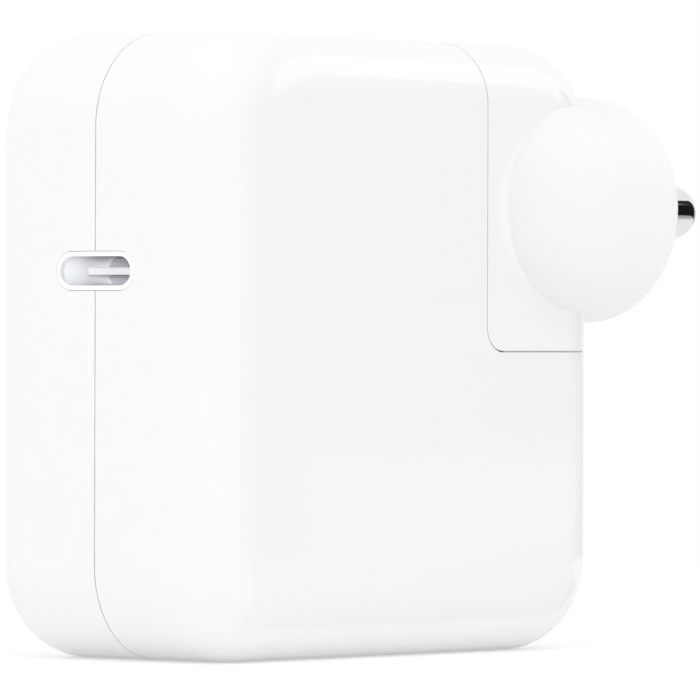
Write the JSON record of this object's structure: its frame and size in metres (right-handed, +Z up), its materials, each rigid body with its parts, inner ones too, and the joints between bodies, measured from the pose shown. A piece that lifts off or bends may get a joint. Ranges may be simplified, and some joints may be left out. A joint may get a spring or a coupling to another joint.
{
  "type": "laptop power adapter",
  "caption": "Square white mains adapter with a USB-C socket in one narrow face and a slide-off corner plug head that has a domed oval flange and round mains pins.",
  "frame": {"origin": "centre of the body's bottom face, on the seam between the two half shells", "axes": "+X from the USB-C face towards the tips of the mains pins, +Y across the thickness, +Z up"},
  "size_m": [0.0753, 0.0404, 0.0571],
  "materials": {
    "shell": "glossy white",
    "shell_ring": "glossy white",
    "white_moulding": "satin",
    "grey_moulding": "satin",
    "black_moulding": "satin",
    "beige_moulding": "satin",
    "steel": "satin",
    "dark_steel": "satin",
    "nickel": "polished",
    "gold": "plated",
    "copper": "bare metal",
    "board": "solder mask",
    "ferrite": "sintered",
    "film_box": "moulded",
    "can_sleeve": "shrink sleeve",
    "can_metal": "bare can",
    "winding_tape": "tape",
    "disc_coat": "coated",
    "spreader_metal": "satin",
    "clear_sheet": "sheet",
    "pad": "soft",
    "lead": "insulation"
  },
  "bodies": {
    "adapter": {"housing_near": "shell", "housing_far": "shell", "usb_bezel": "shell_ring", "usb_shell": "steel", "usb_tongue": "white_moulding", "usb_contacts": "gold", "usb_midplate": "dark_steel", "usb_bracket": "grey_moulding", "usb_board": "board", "inlet_block": "grey_moulding", "inlet_pins": "nickel", "lock_stud": "nickel", "stud_plate": "steel", "stud_nut": "steel", "main_board": "board", "fuse": "black_moulding", "choke_core": "ferrite", "choke_winding": "copper", "x_capacitor": "film_box", "bridge_rectifier": "black_moulding", "bulk_capacitors": "can_sleeve", "transformer_core": "ferrite", "transformer_bobbin": "beige_moulding", "transformer_winding": "winding_tape", "y_capacitor": "disc_coat", "power_switch": "black_moulding", "output_rectifier": "black_moulding", "controller_chips": "black_moulding", "output_capacitors": "can_metal", "output_inductor": "ferrite", "heat_spreader": "spreader_metal", "insulator_sheet": "clear_sheet", "thermal_pad": "pad", "mains_leads": "lead"},
    "plug_head": {"plug_housing": "shell", "plug_face": "shell", "plug_pins": "nickel", "pin_straps": "copper", "socket_insert": "grey_moulding", "socket_sleeves": "copper", "slide_rail": "grey_moulding", "click_spring": "steel"}
  },
  "joints": [
    {"name": "plug_slide", "type": "slide", "parent": "adapter", "child": "plug_head", "axis": [0, 0, 1], "range_m": [0, 0.04]}
  ]
}
